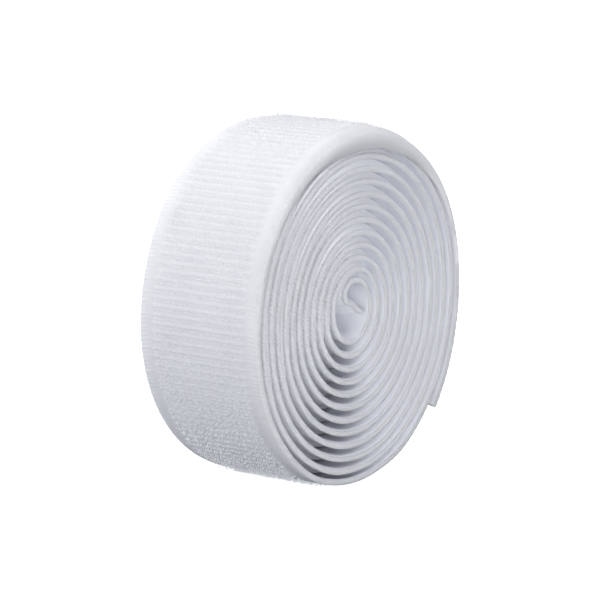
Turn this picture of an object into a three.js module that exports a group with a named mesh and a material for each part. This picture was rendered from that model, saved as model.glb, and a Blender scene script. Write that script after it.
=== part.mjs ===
// Roll of white woven hook tape, wound on itself without a core.
// Millimetres. Z is up, the roll's axis lies along Y, the end face seen first looks to -Y.
import * as THREE from 'three';

// Tape: woven ground, thin coat on its back, hook pile between two plain selvedges
const TAPE_WIDTH = 25;
const SELVEDGE = 2.8;
const GROUND_THICKNESS = 0.8;
const BACK_COAT = 0.1;
const HOOK_HEIGHT = 0.73;
const SEAT_GAP = 0.05;

// Hook rows across the tape, with their hooked profile on the outermost turn
const ROW_PITCH = 1.45;
const ROW_LENGTH = 0.62;
const ROW_FOOT = 0.12;
const ROWED_TURNS = 1.25;

// Winding
const START_ANGLE = 80;
const EYE_RADIUS = 4.41;
const WHOLE_TURNS = 12;
const TURN_GAP = 0.55;
const DISH_DEPTH = 1.6;
const FOOT_DEPTH = 0.5;

// Inner end: lies across the eye, bends up and arches over into the first turn
const END_LENGTH = 5;
const BEND_RADIUS = 0.9;
const BEND_SWEEP = 62;
const ARCH_RADIUS = 2.4;
const ARCH_SWEEP = 100;

// The turns next to the eye sit above the middle of the roll
const EYE_RISE = 1.4;
const RISE_REACH = 12;

// Loose end
const TIP_ANGLE = -42;
const TAIL_LENGTH = 26;
const TAIL_LIFT = 0.3;
const SPLIT_GAP = 0.3;
const SPLIT_CLEARANCE = 0.7;

// Fineness of the curves: degrees and millimetres between two stations
const MAX_TURN = 13;
const MAX_CHORD = 4.5;

// Heights above the ground's inner face, and the pitch they add up to
const RAD = Math.PI / 180;
const PILE_WIDTH = TAPE_WIDTH - 2 * SELVEDGE;
const PILE_FOOT = GROUND_THICKNESS + SEAT_GAP;
const PILE_TOP = PILE_FOOT + HOOK_HEIGHT;
const COAT_TOP = -SEAT_GAP;
const COAT_BACK = -SEAT_GAP - BACK_COAT;
const PITCH = PILE_TOP - COAT_BACK + TURN_GAP;

// Angle wound from the arch to the tip
const WOUND = 360 * WHOLE_TURNS + (((START_ANGLE - TIP_ANGLE) % 360) + 360) % 360;
const TIP_RADIUS = EYE_RADIUS + PITCH * WOUND / 360;
const TAIL_ANGLE = TAIL_LENGTH / TIP_RADIUS / RAD;

function polar(radius, degrees) {
  return { x: radius * Math.cos(degrees * RAD), z: radius * Math.sin(degrees * RAD) };
}

function along(from, degrees, distance) {
  const step = polar(distance, degrees);
  return { x: from.x + step.x, z: from.z + step.z };
}

// The winding turns clockwise outwards; the loose end lifts off towards its tip.
function windingPoint(turned) {
  const lift = TAIL_LIFT * Math.max(0, 1 - (WOUND - turned) / TAIL_ANGLE) ** 2;
  return polar(EYE_RADIUS + PITCH * turned / 360 + lift, START_ANGLE - turned);
}

// A clockwise arc, up to but without the point at its last angle.
function arc(centre, radius, last, sweep) {
  const count = Math.ceil(sweep / 5);
  const points = [];
  for (let i = 0; i < count; i += 1) {
    points.push(along(centre, last + sweep * (1 - i / count), radius));
  }
  return points;
}

// The inner end: straight across the eye, round the bend and over the arch.
function innerEnd() {
  const arch = polar(EYE_RADIUS - ARCH_RADIUS, START_ANGLE);
  const side = START_ANGLE + ARCH_SWEEP;
  const bend = along(arch, side, ARCH_RADIUS - BEND_RADIUS);
  const foot = along(bend, side + BEND_SWEEP, BEND_RADIUS);
  const heading = side + BEND_SWEEP - 90;
  const straight = [1, 0.75, 0.5, 0.25].map((share) => along(foot, heading, -share * END_LENGTH));
  return [
    ...straight,
    ...arc(bend, BEND_RADIUS, side, BEND_SWEEP),
    ...arc(arch, ARCH_RADIUS, START_ANGLE, ARCH_SWEEP),
  ];
}

// Near the eye the line is lifted, less and less towards the rim.
function raise(p) {
  const near = Math.max(0, 1 - Math.hypot(p.x, p.z) / RISE_REACH);
  p.z += EYE_RISE * near ** 2;
}

// The whole tape as a fine line with its length and outward normal at every point.
function tapeLine() {
  const points = innerEnd();
  const steps = Math.ceil(WOUND);
  for (let i = 0; i <= steps; i += 1) {
    points.push(windingPoint(WOUND * i / steps));
  }
  points.forEach(raise);
  let length = 0;
  points.forEach((p, i) => {
    const before = points[Math.max(0, i - 1)];
    const after = points[Math.min(points.length - 1, i + 1)];
    const size = Math.hypot(after.x - before.x, after.z - before.z);
    p.nx = -(after.z - before.z) / size;
    p.nz = (after.x - before.x) / size;
    length += Math.hypot(p.x - before.x, p.z - before.z);
    p.s = length;
  });
  return points;
}

const LINE = tapeLine();
const TAPE_LENGTH = LINE[LINE.length - 1].s;
const PEEL = TAPE_LENGTH - TAIL_LENGTH;
const ROWS_FROM = PEEL - ROWED_TURNS * 2 * Math.PI * TIP_RADIUS;

// Point of the line at a length, moved outwards by a height.
function at(s, height) {
  let low = 0;
  let high = LINE.length - 1;
  while (high - low > 1) {
    const middle = Math.floor((low + high) / 2);
    if (LINE[middle].s > s) high = middle;
    else low = middle;
  }
  const a = LINE[low];
  const b = LINE[high];
  const t = (s - a.s) / (b.s - a.s);
  const nx = a.nx + (b.nx - a.nx) * t;
  const nz = a.nz + (b.nz - a.nz) * t;
  const size = Math.hypot(nx, nz);
  return {
    x: a.x + (b.x - a.x) * t + height * nx / size,
    z: a.z + (b.z - a.z) * t + height * nz / size,
    nz: nz / size,
  };
}

// Lengths at which all layers have their corners: close together where the tape bends.
function stations(from, to) {
  const list = [from];
  let last = LINE[0];
  LINE.forEach((p, i) => {
    const turn = Math.acos(Math.min(1, p.nx * last.nx + p.nz * last.nz)) / RAD;
    const next = LINE[i + 1];
    if (turn < MAX_TURN && p.s - last.s < MAX_CHORD && next) return;
    last = p;
    if (p.s > from + 0.2 && p.s < to - 0.2) list.push(p.s);
  });
  list.push(to);
  return list;
}

// A layer of the tape between two heights.
function layerOutline(from, to, low, high) {
  const marks = stations(from, to);
  const outer = marks.map((s) => at(s, high));
  const inner = marks.map((s) => at(s, low)).reverse();
  return [...outer, ...inner];
}

// Profile of one hook row: stem, top and a nose that turns down, leaning to the tip.
const ROW_PROFILE = [
  { along: 0, up: 0 },
  { along: 0.16, up: 1 },
  { along: 0.74, up: 1 },
  { along: 1, up: 0.6 },
  { along: 0.6, up: 0.64 },
  { along: 0.52, up: 0 },
];

// Height that the floor leaves for a row under the roll.
function pressed(s, height, floor) {
  const base = at(s, PILE_FOOT);
  if (base.nz > -0.5 || s < ROWS_FROM) return height;
  const room = (base.z - floor) / -base.nz;
  return Math.min(height, room * height / HOOK_HEIGHT);
}

function pileOutline(from, to, floor) {
  const outer = [];
  const rowsFrom = Math.max(from, ROWS_FROM);
  stations(from, rowsFrom).forEach((s) => {
    if (from < ROWS_FROM) outer.push(at(s, PILE_TOP));
  });
  const count = Math.floor((to - rowsFrom) / ROW_PITCH);
  const spare = (to - rowsFrom - count * ROW_PITCH + ROW_PITCH - ROW_LENGTH) / 2;
  for (let row = 0; row < count; row += 1) {
    const start = rowsFrom + spare + row * ROW_PITCH;
    ROW_PROFILE.forEach((p) => {
      const s = start + p.along * ROW_LENGTH;
      const height = ROW_FOOT + p.up * (HOOK_HEIGHT - ROW_FOOT);
      outer.push(at(s, PILE_FOOT + pressed(s, height, floor)));
    });
  }
  const open = from < ROWS_FROM ? [] : [at(from, PILE_FOOT + ROW_FOOT)];
  const inner = stations(from, to).map((s) => at(s, PILE_FOOT)).reverse();
  return [...open, ...outer, at(to, PILE_FOOT + ROW_FOOT), ...inner];
}

// The roll is dished: towards the eye the turns sit deeper than the rim.
function dish(x, z) {
  const flat = TIP_RADIUS - 1.5 * PITCH;
  return DISH_DEPTH * Math.max(0, 1 - Math.hypot(x, z) / flat);
}

// Lowest hook tips, and the floor that presses them flat.
function floorLevel() {
  let lowest = 0;
  for (let s = ROWS_FROM; s < PEEL; s += 0.25) lowest = Math.min(lowest, at(s, PILE_TOP).z);
  return lowest + FOOT_DEPTH;
}

// Shift that sets the roll on the floor, its box centred on the origin.
function placing(pieces, floor) {
  const box = new THREE.Box2();
  let deepest = 0;
  pieces.forEach((piece) => {
    piece.outline.forEach((p) => {
      box.expandByPoint(new THREE.Vector2(p.x, p.z));
      deepest = Math.max(deepest, dish(p.x, p.z) + piece.width / 2);
    });
  });
  return { x: -(box.min.x + box.max.x) / 2, y: (TAPE_WIDTH / 2 - deepest) / 2, z: -floor };
}

// Closed strip: an outline in the roll's plane, drawn out over a width along the axis.
function strip(outline, width, shift) {
  const shape = new THREE.Shape(outline.map((p) => new THREE.Vector2(p.x, p.z)));
  const geometry = new THREE.ExtrudeGeometry(shape, { depth: width, steps: 1, bevelEnabled: false });
  const position = geometry.getAttribute('position');
  for (let i = 0; i < position.count; i += 1) {
    const x = position.getX(i);
    const z = position.getY(i);
    const y = width / 2 - position.getZ(i) + dish(x, z);
    position.setXYZ(i, x + shift.x, y + shift.y, z + shift.z);
  }
  geometry.computeVertexNormals();
  return geometry;
}

// Materials
function wovenNylon() {
  return new THREE.MeshStandardMaterial({ color: 0xeef1f5, roughness: 0.85, metalness: 0 });
}

function hookFilament() {
  return new THREE.MeshStandardMaterial({ color: 0xf4f6fa, roughness: 0.5, metalness: 0 });
}

function resinCoat() {
  return new THREE.MeshStandardMaterial({ color: 0xe4e8ee, roughness: 0.6, metalness: 0 });
}

// Least gap between the turns: hook tips of one turn to the coat of the turn around it.
function leastTurnGap() {
  const marks = stations(0, TAPE_LENGTH);
  const coat = marks.map((s) => at(s, COAT_BACK));
  let least = Infinity;
  marks.forEach((s) => {
    const tip = at(s, PILE_TOP);
    for (let i = 1; i < coat.length; i += 1) {
      const a = coat[i - 1];
      const b = coat[i];
      if (Math.abs((marks[i] + marks[i - 1]) / 2 - s) < 3 * PITCH) continue;
      const span = (b.x - a.x) ** 2 + (b.z - a.z) ** 2;
      const t = ((tip.x - a.x) * (b.x - a.x) + (tip.z - a.z) * (b.z - a.z)) / span;
      const k = Math.max(0, Math.min(1, t));
      least = Math.min(least, Math.hypot(a.x + k * (b.x - a.x) - tip.x, a.z + k * (b.z - a.z) - tip.z));
    }
  });
  return least;
}

// The same three layers make the roll and its loose end.
function layers(suffix, from, to, pileFrom, pileTo, floor) {
  const ground = layerOutline(from, to, 0, GROUND_THICKNESS);
  const pile = pileOutline(pileFrom, pileTo, floor);
  const coat = layerOutline(from, to, COAT_BACK, COAT_TOP);
  return [
    { name: `woven_ground_${suffix}`, outline: ground, width: TAPE_WIDTH, material: wovenNylon() },
    { name: `hook_pile_${suffix}`, outline: pile, width: PILE_WIDTH, material: hookFilament() },
    { name: `back_coat_${suffix}`, outline: coat, width: TAPE_WIDTH, material: resinCoat() },
  ];
}

const floor = floorLevel();
const rollEnd = PEEL - SPLIT_GAP / 2;
const tailStart = PEEL + SPLIT_GAP / 2;
const pieces = [
  ...layers('roll', 0, rollEnd, 0, rollEnd - SPLIT_CLEARANCE, floor),
  ...layers('tail', tailStart, TAPE_LENGTH, tailStart + SPLIT_CLEARANCE, TAPE_LENGTH, floor),
];
const shift = placing(pieces, floor);

const group = new THREE.Group();
group.name = 'hook_tape_roll';
pieces.forEach((piece) => {
  const mesh = new THREE.Mesh(strip(piece.outline, piece.width, shift), piece.material);
  mesh.name = piece.name;
  group.add(mesh);
});

const hinge = at(PEEL, GROUND_THICKNESS);
console.log('tape length', TAPE_LENGTH.toFixed(1), 'pitch', PITCH.toFixed(3));
console.log('least gap between turns', leastTurnGap().toFixed(3));
console.log('peel line x', (hinge.x + shift.x).toFixed(4), 'z', (hinge.z + shift.z).toFixed(4));

export default group;
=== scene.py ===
# %% [markdown]
# # A roll of woven hook tape
# The object is one long strip of white nylon tape, wound on itself without a core. One side of the strip
# is covered with tiny hooks, the other is smooth. Here it is made the way the factory makes it: first flat,
# as it leaves the loom, and then wound, point by point, along the same spiral that the solids follow.

# %% Load the frame
import math

import bmesh
import bpy
import numpy as np
from mathutils import Matrix, Vector


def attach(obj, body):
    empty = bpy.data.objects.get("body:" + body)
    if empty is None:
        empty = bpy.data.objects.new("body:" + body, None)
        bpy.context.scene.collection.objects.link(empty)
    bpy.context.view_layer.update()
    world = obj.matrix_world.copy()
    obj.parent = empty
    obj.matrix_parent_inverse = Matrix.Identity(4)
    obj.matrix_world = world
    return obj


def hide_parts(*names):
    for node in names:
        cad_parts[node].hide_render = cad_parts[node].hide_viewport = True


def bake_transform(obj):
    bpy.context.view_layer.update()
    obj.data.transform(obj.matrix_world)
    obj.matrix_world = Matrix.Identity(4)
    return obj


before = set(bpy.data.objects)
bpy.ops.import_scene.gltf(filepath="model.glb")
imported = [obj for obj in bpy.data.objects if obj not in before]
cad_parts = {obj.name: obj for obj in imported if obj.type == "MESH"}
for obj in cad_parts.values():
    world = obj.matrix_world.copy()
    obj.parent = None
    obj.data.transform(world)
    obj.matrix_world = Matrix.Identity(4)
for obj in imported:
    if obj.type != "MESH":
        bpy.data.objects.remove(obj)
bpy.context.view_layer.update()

MM = 0.001
RNG = np.random.default_rng(25)

# %% [markdown]
# ## The spiral
# A flat point of the tape has three numbers in millimetres: how far along it lies, how far across, and how
# high it stands above the woven ground's inner face. The spiral turns those three into a place in the room.
# A Curve modifier could bend the strip too, but it would twist near the tight bend in the eye of the roll, so
# the line is worked out here: a short straight end in the eye, a bend upwards, an arch over into the first
# turn, and then turn upon turn to the tip.

# %% Sizes of the tape and the roll, in millimetres and degrees
TAPE_WIDTH, SELVEDGE = 25.0, 2.8
GROUND, COAT, SEAT, HOOK_HEIGHT = 0.8, 0.1, 0.05, 0.73
START_ANGLE, EYE_RADIUS, WHOLE_TURNS, TURN_GAP = 80.0, 4.41, 12, 0.55
END_LENGTH, BEND_RADIUS, BEND_SWEEP = 5.0, 0.9, 62.0
ARCH_RADIUS, ARCH_SWEEP, EYE_RISE, RISE_REACH = 2.4, 100.0, 1.4, 12.0
DISH_DEPTH, FLUSH_TURNS, FOOT_DEPTH = 1.6, 1.5, 0.5
TIP_ANGLE, TAIL_LENGTH, TAIL_LIFT = -42.0, 26.0, 0.3

HALF = TAPE_WIDTH / 2
FIELD = TAPE_WIDTH - 2 * SELVEDGE
PILE_TOP = GROUND + SEAT + HOOK_HEIGHT
COAT_BACK = -SEAT - COAT
PITCH = PILE_TOP - COAT_BACK + TURN_GAP
WOUND = 360 * WHOLE_TURNS + (START_ANGLE - TIP_ANGLE) % 360
TIP_RADIUS = EYE_RADIUS + PITCH * WOUND / 360
TAIL_ANGLE = math.degrees(TAIL_LENGTH / TIP_RADIUS)
print(f"pitch {PITCH:.2f} mm, {WOUND / 360:.2f} turns, hook field {FIELD:.1f} mm wide")

# %% Draw the winding line
END_POINTS, ARC_POINTS, POINTS_PER_DEGREE = 40, 60, 6


def polar(radius, degrees):
    angle = np.radians(degrees)
    return np.column_stack([radius * np.cos(angle), radius * np.sin(angle)])


def arc(centre, radius, last, sweep):
    return centre + polar(radius, last + sweep * np.linspace(1, 0, ARC_POINTS, endpoint=False))


def inner_end():
    arch = polar(EYE_RADIUS - ARCH_RADIUS, START_ANGLE)
    side = START_ANGLE + ARCH_SWEEP
    bend = arch + polar(ARCH_RADIUS - BEND_RADIUS, side)
    foot = bend + polar(BEND_RADIUS, side + BEND_SWEEP)
    heading = polar(END_LENGTH, side + BEND_SWEEP - 90)
    straight = foot - np.linspace(1, 0, END_POINTS, endpoint=False)[:, None] * heading
    bent = arc(bend, BEND_RADIUS, side, BEND_SWEEP)
    arched = arc(arch, ARCH_RADIUS, START_ANGLE, ARCH_SWEEP)
    return np.vstack([straight, bent, arched])


def tape_line():
    turned = np.linspace(0, WOUND, POINTS_PER_DEGREE * round(WOUND))
    lift = TAIL_LIFT * np.maximum(0, 1 - (WOUND - turned) / TAIL_ANGLE) ** 2
    spiral = polar(EYE_RADIUS + PITCH * turned / 360 + lift, START_ANGLE - turned)
    points = np.vstack([inner_end(), spiral])
    near = np.maximum(0, 1 - np.hypot(points[:, 0], points[:, 1]) / RISE_REACH)
    points[:, 1] += EYE_RISE * near**2
    tangent = np.gradient(points, axis=0)
    tangent /= np.linalg.norm(tangent, axis=1)[:, None]
    normals = np.column_stack([-tangent[:, 1], tangent[:, 0]])
    steps = np.linalg.norm(np.diff(points, axis=0), axis=1)
    return np.concatenate([[0], np.cumsum(steps)]), points, normals


LENGTHS, POINTS, NORMALS = tape_line()
TAPE_LENGTH = LENGTHS[-1]
PEEL = TAPE_LENGTH - TAIL_LENGTH
ONE_TURN = 2 * math.pi * TIP_RADIUS
print(f"tape: {TAPE_LENGTH:.1f} mm long, peels from {PEEL:.1f} mm")

# %% [markdown]
# ## From flat to wound
# `wind` is the machine that rolls the tape up. It also gives the turns the small unevenness of a roll wound
# by hand: each drifts a little sideways and a little in and out, by sums of long waves along the tape. The
# turns near the eye sit deeper than the rim, which dishes the end face, and the selvedges, which have no
# hooks under them to rest on, droop a little under their own weight.

# %% Where a turn lies and how it wanders
DRIFT_ACROSS, DRIFT_UP = 0.11, 0.035
DRIFT_WAVES = np.array([143.0, 97.0, 61.0, 38.0])
DRIFT_PHASES = RNG.uniform(0, 2 * math.pi, (2, len(DRIFT_WAVES)))


def rising(value, first, last):
    return np.clip((value - first) / (last - first), 0, 1)


def drift(along, amount, phases):
    waves = np.sin(2 * math.pi * along[:, None] / DRIFT_WAVES + phases)
    return amount * waves.sum(1) / math.sqrt(len(DRIFT_WAVES))


def line_at(along):
    x = np.interp(along, LENGTHS, POINTS[:, 0])
    z = np.interp(along, LENGTHS, POINTS[:, 1])
    nx = np.interp(along, LENGTHS, NORMALS[:, 0])
    nz = np.interp(along, LENGTHS, NORMALS[:, 1])
    size = np.hypot(nx, nz)
    return x, z, nx / size, nz / size


def dish(x, z):
    flush_rim = TIP_RADIUS - FLUSH_TURNS * PITCH
    return DISH_DEPTH * np.maximum(0, 1 - np.hypot(x, z) / flush_rim)


print("sideways drift at the tip, mm:", drift(LENGTHS[-1:], DRIFT_ACROSS, DRIFT_PHASES[1]).round(3))

# %% Wind flat points onto the spiral
DROOP, DROOP_FROM, DROOP_FULL = 0.5, 1.6, 4.1
OUTER_TURNS, LINE_SAMPLES = 1.1, 4000


def placing():
    outer = np.linspace(TAPE_LENGTH - OUTER_TURNS * ONE_TURN, TAPE_LENGTH, LINE_SAMPLES)
    x, z, nx, nz = line_at(outer)
    tips_x, tips_z = x + PILE_TOP * nx, z + PILE_TOP * nz
    x, z, nx, nz = line_at(np.linspace(0, ONE_TURN, LINE_SAMPLES))
    deepest = max(dish(x + up * nx, z + up * nz).max() for up in (COAT_BACK, 0, GROUND))
    return -(tips_x.min() + tips_x.max()) / 2, -deepest / 2, -(tips_z.min() + FOOT_DEPTH)


PLACE = placing()


def droop(across, height):
    free = rising(np.abs(across), FIELD / 2, HALF)
    return DROOP * free**2 * rising(height, DROOP_FROM, DROOP_FULL)


def wind(flat):
    along, across, up = flat.T
    x, z, nx, nz = line_at(along)
    sag = droop(across, z + PLACE[2])
    up = up + drift(along, DRIFT_UP, DRIFT_PHASES[0])
    x, z = x + up * nx, z + up * nz
    y = across + drift(along, DRIFT_ACROSS, DRIFT_PHASES[1]) + dish(x, z)
    room = np.column_stack([x + PLACE[0], y + PLACE[1], z + PLACE[2] - sag])
    room[:, 2] = np.maximum(room[:, 2], 0)
    return room * MM


print("roll's centre, mm:", [round(v, 3) for v in PLACE])

# %% [markdown]
# ## One strip, wrapped round its own section
# The woven ground and the coat on its back are both long strips with a rounded section. A grid is the right
# start: its rows run along the tape, and its columns are wrapped round the section like a sleeve, until the
# last column meets the first. Merging the doubles closes the sleeve, and filling its two open ends makes it
# a solid. The grid keeps a UV map in millimetres of tape, so that every pattern follows the weave.

# %% Helpers of the strip maker
def to_object(name, mesh):
    obj = bpy.data.objects.new(name, mesh)
    bpy.context.scene.collection.objects.link(obj)
    return obj


def grid_numbers(mesh, rows, columns):
    co = np.empty(3 * len(mesh.vertices), np.float32)
    mesh.vertices.foreach_get("co", co)
    share = (co.reshape(-1, 3)[:, :2] + 1) / 2
    row, column = np.rint(share * (rows, columns)).astype(int).T
    return row, column


def crease_rows(mesh, row, creased):
    ends = np.empty(2 * len(mesh.edges), np.int32)
    mesh.edges.foreach_get("vertices", ends)
    ends = ends.reshape(-1, 2)
    sharp = (row[ends[:, 0]] == row[ends[:, 1]]) & creased[ends].all(1)
    mesh.attributes.new("sharp_edge", "BOOLEAN", "EDGE").data.foreach_set("value", sharp)


def close_sleeve(mesh):
    bm = bmesh.new()
    bm.from_mesh(mesh)
    bmesh.ops.remove_doubles(bm, verts=bm.verts, dist=1e-7)
    for face in bm.faces:
        face.smooth = True
    rim = [edge for edge in bm.edges if edge.is_boundary]
    for edge in rim:
        edge.smooth = False
    bmesh.ops.holes_fill(bm, edges=rim, sides=0)
    bmesh.ops.recalc_face_normals(bm, faces=bm.faces)
    bm.to_mesh(mesh)
    bm.free()


# %% The strip maker
def strip(name, start, stop, step, section, relief, creased=None, marked=None):
    rows, columns = round((stop - start) / step), len(section)
    bm = bmesh.new()
    bmesh.ops.create_grid(bm, x_segments=rows, y_segments=columns, size=1)
    mesh = bpy.data.meshes.new(name)
    bm.to_mesh(mesh)
    bm.free()
    row, column = grid_numbers(mesh, rows, columns)
    along = start + (stop - start) * row / rows
    around = np.vstack([section, section[:1]])[column]
    flat = relief(along, row, around[:, 0], around[:, 1])
    if creased is not None:
        crease_rows(mesh, row, creased(around[:, 0], around[:, 1]))
    mesh.vertices.foreach_set("co", wind(flat).astype(np.float32).ravel())
    corner = np.empty(len(mesh.loops), np.int32)
    mesh.loops.foreach_get("vertex_index", corner)
    tape_uv = np.column_stack([along, around[:, 0]])[corner]
    mesh.uv_layers.new(name="tape_mm").data.foreach_set("uv", tape_uv.astype(np.float32).ravel())
    if marked is not None:
        mark = mesh.attributes.new(marked.__name__, "FLOAT", "POINT")
        mark.data.foreach_set("value", marked(along).astype(np.float32))
    close_sleeve(mesh)
    print(name, rows, "rows of", columns, "faces")
    return to_object(name, mesh)


# %% [markdown]
# ## The woven ground
# Weft picks cross the tape every 0.75 mm and show as fine ribs, most clearly on the plain selvedges. At each
# edge the weft turns back after every second pick, so the edge is a little thicker and faintly beaded. All of
# it is modelled: the rows of the strip stand two to a pick, one on the crest and one in the valley.

# %% The section of the ground
PICK = 0.745
JOINT_BEFORE_PEEL = 4.0
EDGE_ROUND, EDGE_FLAT = 0.32, 0.12
TOP_INSETS = [0, 0.06, 0.19, 0.45, 1.2, 2.0, SELVEDGE]
UNDER_INSETS = [0, 0.06, 0.3, 1.3, SELVEDGE]


def whole_picks(along):
    return 2 * PICK * math.floor(along / (2 * PICK))


def half_section(insets, up_sign):
    across = HALF - np.array(insets)
    inset = rising(across, HALF - EDGE_ROUND, HALF)
    rounded = EDGE_FLAT + (1 - EDGE_FLAT) * np.sqrt(1 - inset**2)
    return np.column_stack([across, GROUND / 2 * (1 + up_sign * rounded)])


def ground_section():
    other_edge = np.array([-1, 1])
    top, under = half_section(TOP_INSETS, 1), half_section(UNDER_INSETS, -1)
    return np.vstack([top, top[::-1] * other_edge, under * other_edge, under[::-1]])


ROLL_END = whole_picks(PEEL - JOINT_BEFORE_PEEL)
print(f"the roll's strips end at {ROLL_END:.2f} mm, where the tail's begin")

# %% [markdown]
# Nothing holds the edges of the last turn. At the top they are pressed over the edge of the turn below, like
# a hem. On the way down to the left the front edge curls inwards, and near the bottom so does the far one.
# A sculpting brush could do this by hand. Here each is a smooth swell between two distances from the tip.

# %% Hem and curl
HEM, HEM_OUT, HEM_ROUND, HEM_EDGE = 2.8, 0.35, 0.5, (11.2, 12.0)
HEM_FROM, HEM_TO, TIP_EASE, FAR_EASE = 30.0, 114.0, 36.0, 42.0
FRONT, FAR, CURL_EASE = -1, 1, 40.0
CURLS = [(FRONT, 0.7, 62.0, 176.0), (FAR, 1.1, 122.0, 216.0)]


def between(from_tip, first, last, first_ease, last_ease):
    swell = rising(from_tip, first, first + first_ease)
    share = np.minimum(swell, rising(from_tip, last, last - last_ease))
    return share * share * (3 - 2 * share)


def hem(along, across):
    share = between(TAPE_LENGTH - along, HEM_FROM, HEM_TO, TIP_EASE, FAR_EASE)
    return share * rising(np.abs(across), *HEM_EDGE)


def curl(along, across):
    inwards = np.zeros(len(along))
    for side, depth, first, last in CURLS:
        share = between(TAPE_LENGTH - along, first, last, CURL_EASE, CURL_EASE)
        inwards += depth * share * rising(side * across, FIELD / 2, HALF) ** 2
    return inwards


print("hem", HEM_TO - HEM_FROM, "mm long, curls", [last - first for _, _, first, last in CURLS], "mm")

# %% Weave the ground
RIB, RIDGE, BEAD, EDGE_BULGE = 0.05, 0.11, 0.05, 0.16
PLAIN_FROM = FIELD / 2 + 0.1
BULGE_EDGE, BEAD_EDGE = (10.0, 11.8), (11.8, HALF)


def woven_relief(along, row, across, up):
    edge = np.abs(across)
    outside = rising(up, GROUND / 2, GROUND)
    turned = hem(along, across)
    up = GROUND - (GROUND - up) * (1 + HEM * turned) - HEM_ROUND * turned**2
    plain = (edge > PLAIN_FROM).astype(float)
    rib = np.where(row % 2 == 0, RIB, -RIB) * plain
    ridge = RIDGE * (np.cos(math.pi * row / 2) + 0.5 * np.cos(math.pi * row)) * (1 - plain)
    bead = BEAD * np.cos(math.pi * row / 2) * rising(edge, *BEAD_EDGE)
    bulge = EDGE_BULGE * rising(edge, *BULGE_EDGE)
    out = np.sign(across) * (bead + HEM_OUT * turned)
    lifted = up + outside * (rib + ridge + bulge) - curl(along, across)
    return np.column_stack([along, across + out, lifted])


def ribbed(across, up):
    return (np.abs(across) > PLAIN_FROM) & (up > GROUND / 2)


ground_roll = strip("ground_roll", 0.0, ROLL_END, PICK / 2, ground_section(), woven_relief, ribbed)
ground_tail = strip("ground_tail", ROLL_END, TAPE_LENGTH, PICK / 2, ground_section(), woven_relief, ribbed)

# %% [markdown]
# ## The coat on the back
# A thin film of resin locks the weave from behind. It is what shows, smooth and faintly glossy, on the inner
# side of every turn. It could be a second material on the ground, but a film of its own has a real edge: it
# follows the ground at a hair's distance and stops just short of the selvedge's rim.

# %% Spread the coat
COAT_FRONT, COAT_STEP = -0.01, 1.0
COAT_WAVE, COAT_WAVE_LENGTH = 0.012, 5.3
COAT_FLAT = 1.4
COAT_EDGE = [(0.2, COAT_FRONT), (0.3, -0.09), (0.6, -0.14), (COAT_FLAT, COAT_BACK), (SELVEDGE, COAT_BACK)]


def coat_section():
    back = [(HALF - inset, up) for inset, up in COAT_EDGE]
    back += [(-across, up) for across, up in reversed(back)]
    front = [(-HALF + inset, COAT_FRONT) for inset in (COAT_FLAT, SELVEDGE)]
    front += [(-across, up) for across, up in reversed(front)]
    return np.array(back + front)


def film_relief(along, row, across, up):
    waves = COAT_WAVE * np.sin(2 * math.pi * along / COAT_WAVE_LENGTH + across)
    return np.column_stack([along, across, up + waves - curl(along, across)])


coat_roll = strip("coat_roll", 0.0, ROLL_END, COAT_STEP, coat_section(), film_relief)
coat_tail = strip("coat_tail", ROLL_END, TAPE_LENGTH, COAT_STEP, coat_section(), film_relief)

# %% [markdown]
# ## The hooks
# A hook is a nylon filament that was woven in as a loop and then cut on one side: it leaves a bent hook and,
# under its tip, the stub of the other leg. One is modelled with a circle, an extrusion and a spin. Four sides
# are enough, because thousands are planted and each is only a pixel wide in the picture.

# %% Bend one hook
FILAMENT, FILAMENT_SIDES = 0.14, 4
ARCH, ARCH_BEND, ARCH_STEPS = 0.22, 205.0, 5
FOOT_SUNK, STUB = 0.12, 0.22
HOOK_FOOT = GROUND - FOOT_SUNK
STEM_TOP = PILE_TOP - ARCH - FILAMENT / 2
STUB_TOP = GROUND + STUB


def post(bm, place, height):
    ring = bmesh.ops.create_circle(bm, segments=FILAMENT_SIDES, radius=FILAMENT / 2,
                                   matrix=Matrix.Translation(place))
    edges = list({edge for vert in ring["verts"] for edge in vert.link_edges})
    grown = bmesh.ops.extrude_edge_only(bm, edges=edges)["geom"]
    lifted = [item for item in grown if isinstance(item, bmesh.types.BMVert)]
    bmesh.ops.translate(bm, verts=lifted, vec=(0, 0, height))
    sides = [item for item in grown if isinstance(item, bmesh.types.BMEdge)]
    return [edge for edge in sides if all(vert in lifted for vert in edge.verts)]


def one_hook():
    bm = bmesh.new()
    stem = post(bm, Vector((0, -ARCH, HOOK_FOOT)), STEM_TOP - HOOK_FOOT)
    bent = bmesh.ops.spin(bm, geom=stem, cent=(0, 0, STEM_TOP), axis=(-1, 0, 0), dvec=(0, 0, 0),
                          angle=math.radians(ARCH_BEND), steps=ARCH_STEPS, use_duplicate=False)
    tip = [item for item in bent["geom_last"] if isinstance(item, bmesh.types.BMEdge)]
    stub = post(bm, Vector((0, ARCH, HOOK_FOOT)), STUB_TOP - HOOK_FOOT)
    for loop in (tip, stub):
        bmesh.ops.edgeloop_fill(bm, edges=loop)
    bmesh.ops.remove_doubles(bm, verts=bm.verts, dist=1e-4)
    bmesh.ops.recalc_face_normals(bm, faces=bm.faces)
    for face in bm.faces:
        face.smooth = True
    mesh = bpy.data.meshes.new("one_hook")
    bm.to_mesh(mesh)
    bm.free()
    return mesh


HOOK = one_hook()
print("one hook:", len(HOOK.vertices), "points,", len(HOOK.polygons), "faces")

# %% [markdown]
# Two Array modifiers plant the hook in columns and rows, as the loom does. Then every copy gets its own turn
# and lean: neighbours face opposite ways, every second row stands lower, and each hook is a little shorter or
# askew. Particles could plant them too, but the arrays keep the order of the loom.

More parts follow.
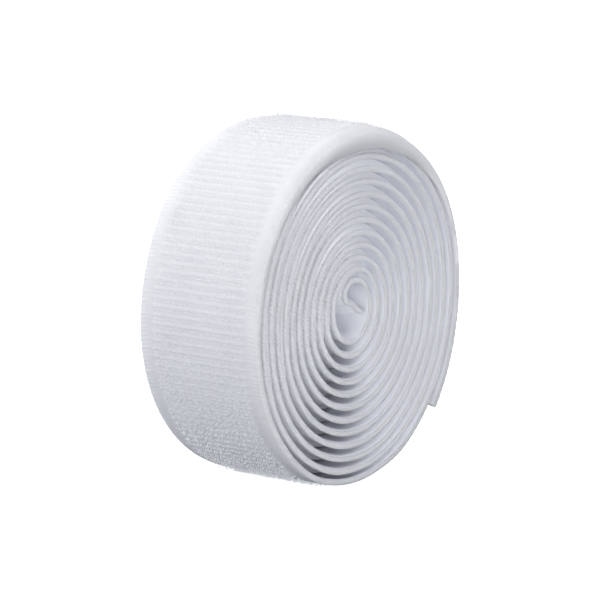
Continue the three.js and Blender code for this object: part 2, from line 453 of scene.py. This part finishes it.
# %% Let each hook lean, and wind the field
HOOK_ROW, HOOK_COLUMN = PICK, 0.9
TURN_SPREAD, LEAN_SPREAD, PLACE_SPREAD = 0.18, 0.09, (0.05, 0.12)
TALL_ROW, LOW_ROW, WEAR = 1.0, 0.68, 0.18


def lean_and_wind(mesh, rows, columns, start, first_across):
    co = np.empty(3 * len(mesh.vertices), np.float32)
    mesh.vertices.foreach_get("co", co)
    hooks = co.reshape(rows * columns, -1, 3).astype(float)
    number = np.arange(rows * columns)
    column, row = number % columns, number // columns
    foot = np.column_stack([row * HOOK_ROW, column * HOOK_COLUMN, np.zeros(len(number))])
    local = hooks - foot[:, None]
    turn = np.where((column + row) % 2 == 0, 0.0, math.pi) + RNG.normal(0, TURN_SPREAD, len(number))
    lean = RNG.normal(0, LEAN_SPREAD, (len(number), 2))
    height = np.where(row % 2 == 0, TALL_ROW, LOW_ROW) - RNG.uniform(0, WEAR, len(number))
    rise = (local[:, :, 2] - HOOK_FOOT) * height[:, None]
    c, s = np.cos(turn)[:, None], np.sin(turn)[:, None]
    along = local[:, :, 0] * c - local[:, :, 1] * s + rise * lean[:, :1]
    across = local[:, :, 0] * s + local[:, :, 1] * c + rise * lean[:, 1:]
    place = foot[:, :2] + RNG.normal(0, PLACE_SPREAD, (len(number), 2)) + (start, first_across)
    flat = np.stack([along + place[:, :1], across + place[:, 1:], HOOK_FOOT + rise], -1)
    mesh.vertices.foreach_set("co", wind(flat.reshape(-1, 3)).astype(np.float32).ravel())
    print(mesh.name, rows, "rows of", columns, "hooks")


# %% Plant the hooks of the outer turn and the tail
FIELD_COLUMNS = math.floor(FIELD / HOOK_COLUMN)
FIELD_FIRST = -(FIELD_COLUMNS - 1) * HOOK_COLUMN / 2
HOOKED_LENGTH, FRONT_LENGTH, TIP_MARGIN = 228.0, 126.0, 0.4
OUTER_START = whole_picks(TAPE_LENGTH - HOOKED_LENGTH)
OUTER_MIDDLE = whole_picks(TAPE_LENGTH - FRONT_LENGTH)


def plant(name, start, stop):
    rows = math.floor((stop - start) / HOOK_ROW)
    obj = to_object(name, HOOK.copy())
    for count, offset in ((FIELD_COLUMNS, (0, HOOK_COLUMN, 0)), (rows, (HOOK_ROW, 0, 0))):
        array = obj.modifiers.new("planting", "ARRAY")
        array.count = count
        array.use_relative_offset = False
        array.use_constant_offset = True
        array.constant_offset_displace = offset
    depsgraph = bpy.context.evaluated_depsgraph_get()
    planted = bpy.data.meshes.new_from_object(obj.evaluated_get(depsgraph))
    obj.modifiers.clear()
    obj.data = planted
    planted.name = name
    lean_and_wind(planted, rows, FIELD_COLUMNS, start, FIELD_FIRST)
    return obj


hooks_outer = plant("hooks_outer_turn", OUTER_MIDDLE, ROLL_END)
hooks_under = plant("hooks_under_tail", OUTER_START, OUTER_MIDDLE)
hooks_tail = plant("hooks_tail", ROLL_END, TAPE_LENGTH - TIP_MARGIN)

# %% [markdown]
# ## The hooks between the turns
# Inside the roll no single hook can be told apart. The field there is one soft band, ribbed row by row, which
# fills the gap between the turns as the mass of hooks does. Where the turns rest on each other it is pressed
# out over the selvedges. Towards the bottom the turns hang apart and it draws back, which leaves dark wedges.
# Both sections are given as pairs of inset and height, and the band goes from one to the other.

# %% Fill the field between the turns
FIELD_START, CREST, CREST_EASE = 0.8, 0.05, 0.3
FIRST_INSET, INSET_STEP, UNDER = 1.0, 0.5, 0.02
HANGING = np.array([(5.5, 0.0), (5.55, 0.4), (5.6, 0.7), (5.7, 0.85), (5.9, 0.9), (6.5, 0.9)])
PRESSED = np.array([(0.6, 0.03), (1.03, 0.3), (1.65, 0.65), (2.35, 0.95), (3.0, 1.15), (6.5, 1.15)])
BAND_TOP, PRESS_FADE = PRESSED[-1, 1] + 0.2, 1.5


def field_section():
    side = [(HALF - FIRST_INSET - INSET_STEP * place, GROUND) for place in range(len(PRESSED))]
    under = [(across, GROUND - UNDER) for across in (-side[0][0], side[0][0])]
    return np.array(side + [(-across, up) for across, up in reversed(side)] + under)


# How far the turns press on the pile here: 1 at the sides and top, less towards the bottom. The same share
# sets the pile's painted shade.
def pressing_and_shade(along):
    x, z, _, _ = line_at(along)
    return np.where(z < 0, np.abs(x) / np.hypot(x, z), 1) ** PRESS_FADE


def row_relief(along, row, across, up):
    rest = pressing_and_shade(along)[:, None]
    place = np.rint((HALF - FIRST_INSET - np.abs(across)) / INSET_STEP).astype(int)
    inset, height = (HANGING[place] + rest * (PRESSED - HANGING)[place]).T
    middle = rising(height, 0, CREST_EASE) * rising(height, BAND_TOP, BAND_TOP - CREST_EASE)
    crest = np.where(row % 2 == 0, CREST, -CREST) * middle
    rise = np.where(up < GROUND, up, GROUND + height + crest)
    return np.column_stack([along, np.sign(across) * (HALF - inset), rise])


def outer_side(across, up):
    return up > GROUND - UNDER / 2


hook_field = strip("hook_field_roll", FIELD_START, OUTER_START, HOOK_ROW / 2, field_section(), row_relief,
                   outer_side, pressing_and_shade)

# %% [markdown]
# ## Finishes
# Everything here is white nylon, and only the way it takes the light tells the pieces apart. The woven cloth
# is matt and lets light sink a millimetre or two into its yarns. The hooks are smooth drawn filament, the
# mass of hooks between the turns is duller, and the resin has the low sheen of dried glue. Colours are picked
# as hex codes and turned into the linear values that Blender works with.

# %% Colours and nodes
DARK, LIGHT = 6, 7  # the two colour inputs of a Mix node


def linear(code):
    values = [int(code[i:i + 2], 16) / 255 for i in (1, 3, 5)]
    return [v / 12.92 if v <= 0.04045 else ((v + 0.055) / 1.055) ** 2.4 for v in values] + [1.0]


def add(tree, kind, inputs=(), **settings):
    node = tree.nodes.new(kind)
    for name, value in settings.items():
        setattr(node, name, value)
    for key, value in dict(inputs).items():
        if isinstance(value, bpy.types.NodeSocket):
            tree.links.new(value, node.inputs[key])
        else:
            node.inputs[key].default_value = value
    return next(socket for socket in node.outputs if socket.enabled)


def finish(name, **settings):
    material = bpy.data.materials.new(name)
    material.use_nodes = True
    shader = material.node_tree.nodes["Principled BSDF"]
    for socket, value in settings.items():
        shader.inputs[socket.replace("_", " ")].default_value = value
    return material, material.node_tree, shader


print("white yarn, linear:", [round(v, 3) for v in linear("#fafafc")[:3]])

# %% [markdown]
# The weave is drawn on the tape's own map, in millimetres: a cosine along the tape gives the weft picks, one
# across it the warp yarns, and fine noise the stray fibres. Together they make a small bump. Cloth lets light
# in, and it comes out again a little further on, which softens every shadow: that is the subsurface part. It
# stops near the joint of roll and tail, where two caps inside the cloth would show as a dark seam.

# %% Woven nylon: the bump of the weave
WARP, WEAVE_HEIGHT, LIGHT_DEPTH, JOINT_REACH = 0.4, 0.06, 2.0, 3.0
FIBRES_PER_MM = 2.2


def wave(tree, value, period):
    angle = add(tree, "ShaderNodeMath", {0: value, 1: 2 * math.pi / period}, operation="MULTIPLY")
    return add(tree, "ShaderNodeMath", {0: angle}, operation="COSINE")


woven, tree, shader = finish("woven nylon", Roughness=0.75, IOR=1.53,
                             Subsurface_Radius=(1, 1, 1), Subsurface_Scale=LIGHT_DEPTH * MM)
tape = add(tree, "ShaderNodeUVMap", uv_map="tape_mm")
along = add(tree, "ShaderNodeSeparateXYZ", {"Vector": tape})
across = along.node.outputs["Y"]
weft, warp, row_shade_wave = wave(tree, along, PICK), wave(tree, across, WARP), wave(tree, along, 2 * PICK)
fibre = add(tree, "ShaderNodeTexNoise", {"Vector": tape, "Scale": FIBRES_PER_MM, "Detail": 3.0,
                                         "Roughness": 0.6})
yarns = add(tree, "ShaderNodeMath", {0: warp, 1: 0.25, 2: fibre}, operation="MULTIPLY_ADD")
weave = add(tree, "ShaderNodeMath", {0: weft, 1: 0.25, 2: yarns}, operation="MULTIPLY_ADD")
bump = add(tree, "ShaderNodeBump", {"Strength": 0.5, "Distance": WEAVE_HEIGHT * MM, "Height": weave})
joint = add(tree, "ShaderNodeMath", {0: along, 1: ROLL_END, 2: JOINT_REACH}, operation="COMPARE")
deep = add(tree, "ShaderNodeMath", {0: 1.0, 1: joint}, operation="SUBTRACT")
tree.links.new(bump, shader.inputs["Normal"])
tree.links.new(deep, shader.inputs["Subsurface Weight"])
print(woven.name, len(tree.nodes), "nodes so far")

# %% [markdown]
# White yarn isn't one white. Slow clouds along the tape make some stretches a trace greyer, and the turned
# edge, where the weft lies double, is the whitest; part of that whiteness is a painted highlight on its
# rounded loops. The ground of the hook field is painted greyer than the selvedges, as painted shade between
# the hooks. Every second pick of the field carries the tall hooks and is painted a little lighter, each pick
# is lighter on its crest, and the troughs between are painted darker: painted shade in the valleys of the
# weave, which draws faint broken lines across the tape.

# %% Woven nylon: the whites of the yarn, with painted shade and a painted highlight
CLOUDS_PER_MM = 0.16
FIELD_PAINTED_SHADE, FIBRE_TONE, PICK_PAINTED_SHADE, ROW_PAINTED_SHADE = 0.86, 0.2, 0.008, 0.042
SELVEDGE_TONE, TURNED_TONE_AND_HIGHLIGHT, TURNED_WHITE_AND_HIGHLIGHT = 0.94, 0.06, 0.7
edge = add(tree, "ShaderNodeMath", {0: across}, operation="ABSOLUTE")
plain = add(tree, "ShaderNodeMapRange", {"Value": edge, "From Min": 9.3, "From Max": 10.2},
            interpolation_type="SMOOTHSTEP")
# The turned edge is painted whitest: partly the doubled weft, partly a painted highlight on its rounded
# loops.
turned = add(tree, "ShaderNodeMapRange", {"Value": edge, "From Min": 11.9, "From Max": 12.4})
cloud = add(tree, "ShaderNodeTexNoise", {"Vector": tape, "Scale": CLOUDS_PER_MM, "Detail": 2.0})
white = add(tree, "ShaderNodeMath", {0: turned, 1: TURNED_WHITE_AND_HIGHLIGHT, 2: cloud}, operation="MULTIPLY_ADD")
yarn = add(tree, "ShaderNodeMix", {"Factor": white, DARK: linear("#f0f0f3"), LIGHT: linear("#fafafc")},
           data_type="RGBA")
# The hook field's ground is painted greyer than the selvedges: painted shade between the hooks, with random
# fibre grain on top.
fibre_grain_on_shade = add(tree, "ShaderNodeMath", {0: fibre, 1: FIBRE_TONE, 2: FIELD_PAINTED_SHADE}, operation="MULTIPLY_ADD")
# Each pick is painted lighter on its crest, and every second pick lighter still, with darker troughs between:
# painted shade in the valleys of the weave.
pick_shade = add(tree, "ShaderNodeMath", {0: weft, 1: PICK_PAINTED_SHADE, 2: fibre_grain_on_shade}, operation="MULTIPLY_ADD")
field_shade_and_grain = add(tree, "ShaderNodeMath", {0: row_shade_wave, 1: ROW_PAINTED_SHADE, 2: pick_shade}, operation="MULTIPLY_ADD")
rim = add(tree, "ShaderNodeMath", {0: turned, 1: TURNED_TONE_AND_HIGHLIGHT, 2: SELVEDGE_TONE},
          operation="MULTIPLY_ADD")
tone_and_painted_shade = add(tree, "ShaderNodeMix", {"Factor": plain, "A": field_shade_and_grain, "B": rim})
colour = add(tree, "ShaderNodeVectorMath", {0: yarn, 1: tone_and_painted_shade}, operation="MULTIPLY")
tree.links.new(colour, shader.inputs["Base Color"])
print(woven.name, len(tree.nodes), "nodes")

# %% [markdown]
# No two filaments are quite alike. Noise as fine as the planting makes some hooks brighter and some glossier,
# which gives the eye the grain of the hook side. The hooks have no map of their own, so the noise is laid in
# the object's own space, with its scale worked out from the distance between two columns.

# %% Nylon monofilament
filament, tree, shader = finish("nylon monofilament", IOR=1.53, Specular_IOR_Level=0.3)
room = add(tree, "ShaderNodeTexCoord").node.outputs["Object"]
each = add(tree, "ShaderNodeTexNoise", {"Vector": room, "Scale": 1 / (HOOK_COLUMN * MM), "Detail": 1.0})
drawn = add(tree, "ShaderNodeMix", {"Factor": each, DARK: linear("#f1f2f5"), LIGHT: linear("#fcfcfd")},
            data_type="RGBA")
gloss = add(tree, "ShaderNodeMapRange", {"Value": each, "From Min": 0.3, "From Max": 0.7,
                                         "To Min": 0.48, "To Max": 0.62})
tree.links.new(drawn, shader.inputs["Base Color"])
tree.links.new(gloss, shader.inputs["Roughness"])
print(filament.name, len(tree.nodes), "nodes")

# %% [markdown]
# Where the turns press on the hooks, the pile is white. Towards the bottom, where the turns hang apart, the
# pile is painted dark grey: painted shade in the gaps between the turns. The strip carries how far it is
# pressed as an attribute, and the colour follows.

# %% Pressed nylon pile, with painted shade where the turns hang apart
TUFTS_PER_MM, TUFT_HEIGHT = 1.4, 0.05
pile, tree, shader = finish("pressed nylon pile", Roughness=0.8, IOR=1.53, Specular_IOR_Level=0.2)
pressed = add(tree, "ShaderNodeAttribute", attribute_name="pressing_and_shade").node.outputs["Fac"]
tape = add(tree, "ShaderNodeUVMap", uv_map="tape_mm")
tuft = add(tree, "ShaderNodeTexNoise", {"Vector": tape, "Scale": TUFTS_PER_MM, "Detail": 2.0})
# Where the pile hangs free it is painted dark grey: painted shade in the gaps between the turns.
pile_shade_and_tufts = add(tree, "ShaderNodeMath", {0: tuft, 1: 0.1, 2: pressed}, operation="MULTIPLY_ADD")
pile_colour_with_painted_shade = add(tree, "ShaderNodeMix", {"Factor": pile_shade_and_tufts, DARK: linear("#a0a2a9"), LIGHT: linear("#fafafc")},
           data_type="RGBA")
tufts = add(tree, "ShaderNodeBump", {"Strength": 0.4, "Distance": TUFT_HEIGHT * MM, "Height": tuft})
tree.links.new(pile_colour_with_painted_shade, shader.inputs["Base Color"])
tree.links.new(tufts, shader.inputs["Normal"])
print(pile.name, len(tree.nodes), "nodes")

# %% [markdown]
# The resin was spread by a blade and dried. It is even, with a slow change of tint and sheen over a few
# millimetres and a faint unevenness of the surface, so that the light slides softly along the inner faces.

# %% Resin back coat
SMEARS_PER_MM, SMEAR_HEIGHT = 0.35, 0.03
resin, tree, shader = finish("resin back coat", IOR=1.5)
tape = add(tree, "ShaderNodeUVMap", uv_map="tape_mm")
film = add(tree, "ShaderNodeTexNoise", {"Vector": tape, "Scale": SMEARS_PER_MM, "Detail": 3.0})
dried = add(tree, "ShaderNodeMix", {"Factor": film, DARK: linear("#eff0f5"), LIGHT: linear("#f5f6f9")},
            data_type="RGBA")
sheen = add(tree, "ShaderNodeMapRange", {"Value": film, "From Min": 0.3, "From Max": 0.7,
                                         "To Min": 0.44, "To Max": 0.56})
skin = add(tree, "ShaderNodeBump", {"Strength": 0.3, "Distance": SMEAR_HEIGHT * MM, "Height": film})
tree.links.new(dried, shader.inputs["Base Color"])
tree.links.new(sheen, shader.inputs["Roughness"])
tree.links.new(skin, shader.inputs["Normal"])
print(resin.name, len(tree.nodes), "nodes")

# %% [markdown]
# Each piece has one finish. The slot tells which of the part's materials it stands for: single hooks and
# pressed pile are the same filament, seen from near and from afar.

# %% Give the pieces their finishes
FINISHES = [
    ("woven_nylon", woven, [ground_roll, ground_tail]),
    ("resin_coat", resin, [coat_roll, coat_tail]),
    ("hook_filament", filament, [hooks_outer, hooks_under, hooks_tail]),
    ("hook_filament", pile, [hook_field]),
]
for slot, material, pieces in FINISHES:
    for piece in pieces:
        piece.data.materials.clear()
        piece.data.materials.append(material)
    print(slot, material.name, [piece.name for piece in pieces])

# %% [markdown]
# ## What stands for which solid
# Each new piece takes the place of the plain solid that was its stand-in. The wound part stays with the roll.
# The free end's pieces stay where they were wound, in the room's own frame.

# %% Bodies
BEND_BEFORE_PEEL, BEND_AFTER_PEEL = 1.0, 9.0


def line_point(along):
    return tuple(wind(np.array([[along, 0.0, GROUND]]))[0])


STANDS_FOR = [
    (ground_roll, "woven_ground_roll"), (coat_roll, "back_coat_roll"), (hook_field, "hook_pile_roll"),
    (ground_tail, "woven_ground_tail"), (coat_tail, "back_coat_tail"), (hooks_tail, "hook_pile_tail"),
]
for piece, solid in STANDS_FOR:
    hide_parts(solid)
for piece in (ground_roll, coat_roll, hook_field, hooks_outer, hooks_under):
    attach(piece, "roll")
for piece in (ground_tail, coat_tail, hooks_tail):
    line_point(PEEL - BEND_BEFORE_PEEL)
    line_point(PEEL + BEND_AFTER_PEEL)
    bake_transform(piece)

print(f"sheets: {TAPE_WIDTH} x {ROLL_END:.1f} mm and {TAPE_WIDTH} x {TAPE_LENGTH - ROLL_END:.1f} mm")

# %% [markdown]
# ## Floor and light
# The roll stands on white paper that is lit to pure white, as in a catalogue photograph. The paper gives the
# picture its ground. It doesn't light the roll itself, because it would drown the soft shadows there.

# %% Lay the paper
PAPER_HALF, PAPER_LIGHT = 3.0, 0.85
floor_mesh = bpy.data.meshes.new("floor")
bm = bmesh.new()
bmesh.ops.create_grid(bm, x_segments=1, y_segments=1, size=PAPER_HALF)
bm.to_mesh(floor_mesh)
bm.free()
floor = to_object("floor", floor_mesh)
paper, tree, shader = finish("white paper floor", Roughness=0.9, Base_Color=linear("#ffffff"),
                             Emission_Color=linear("#ffffff"), Emission_Strength=PAPER_LIGHT)
floor_mesh.materials.append(paper)
floor.visible_diffuse = False
print("floor:", 2 * PAPER_HALF, "m wide")

# %% [markdown]
# A weak blue-white glow from below stands for the light that the paper throws back at the roll. Large soft
# lights do the rest: from above and behind, from the left, low from the front, and from the right. White
# cloth in narrow gaps hands the light on many times, so Cycles is allowed more bounces than usual.

# %% Set the lights
AIM_SHIFT = Vector((-1.10, 0, 0.41))
AIM = (Vector(PLACE) + AIM_SHIFT) * MM
GLOW, GLOW_TINT = 0.075, (0.48, 0.63, 1, 1)

world = bpy.data.worlds.new("studio")
bpy.context.scene.world = world
world.use_nodes = True
sky = world.node_tree
upward = add(sky, "ShaderNodeSeparateXYZ", {"Vector": add(sky, "ShaderNodeTexCoord")}).node.outputs["Z"]
glow = add(sky, "ShaderNodeMapRange", {"Value": upward, "From Min": 0.1, "From Max": -0.1,
                                       "To Min": 0.0, "To Max": GLOW})
sky.nodes["Background"].inputs["Color"].default_value = GLOW_TINT
sky.links.new(glow, sky.nodes["Background"].inputs["Strength"])


def softbox(name, place, size, power, tint):
    light = bpy.data.lights.new(name, "AREA")
    light.shape = "RECTANGLE"
    light.size, light.size_y = size
    light.energy = power
    light.color = tint
    obj = bpy.data.objects.new(name, light)
    bpy.context.scene.collection.objects.link(obj)
    obj.location = place
    obj.rotation_euler = (AIM - Vector(place)).to_track_quat("-Z", "Y").to_euler()
    print("light:", name, power, "W")


softbox("top", (-0.2, 0.7, 0.95), (1.2, 1.2), 13.7, (1, 1, 0.96))
softbox("left", (-0.9, 0.8, 0.4), (1.2, 0.9), 6.6, (0.81, 0.83, 1))
softbox("low", (-0.85, -0.78, 0.08), (1.6, 0.15), 11.2, (0.98, 1, 1))
softbox("right", (0.6, -0.5, 0.9), (1.2, 0.9), 7.9, (0.88, 0.89, 1))
bpy.context.scene.cycles.max_bounces = 16
bpy.context.scene.cycles.diffuse_bounces = 12

# %% [markdown]
# ## Camera
# The photograph was taken from the left and a little above, from about half a metre. The angle, the distance
# and the focal length in pixels come from fitting the rim of the end face and the outline of the roll.

# %% Place the camera
AZIMUTH, ELEVATION, DISTANCE = -55.16, 11.66, 560.0
FOCAL_PIXELS, PICTURE_PIXELS, SENSOR = 3120.0, 600, 36.0
camera = bpy.data.cameras.new("camera")
camera.sensor_width = SENSOR
camera.lens = FOCAL_PIXELS * SENSOR / PICTURE_PIXELS
camera.clip_start = 0.01
view = bpy.data.objects.new("camera", camera)
bpy.context.scene.collection.objects.link(view)
a, e = math.radians(AZIMUTH), math.radians(ELEVATION)
towards = Vector((math.sin(a) * math.cos(e), -math.cos(a) * math.cos(e), math.sin(e)))
view.location = AIM + DISTANCE * MM * towards
view.rotation_euler = (AIM - view.location).to_track_quat("-Z", "Y").to_euler()
bpy.context.scene.camera = view
bpy.context.scene.view_settings.view_transform = "Standard"
print(f"camera: {camera.lens:.1f} mm lens, {DISTANCE:.0f} mm away")
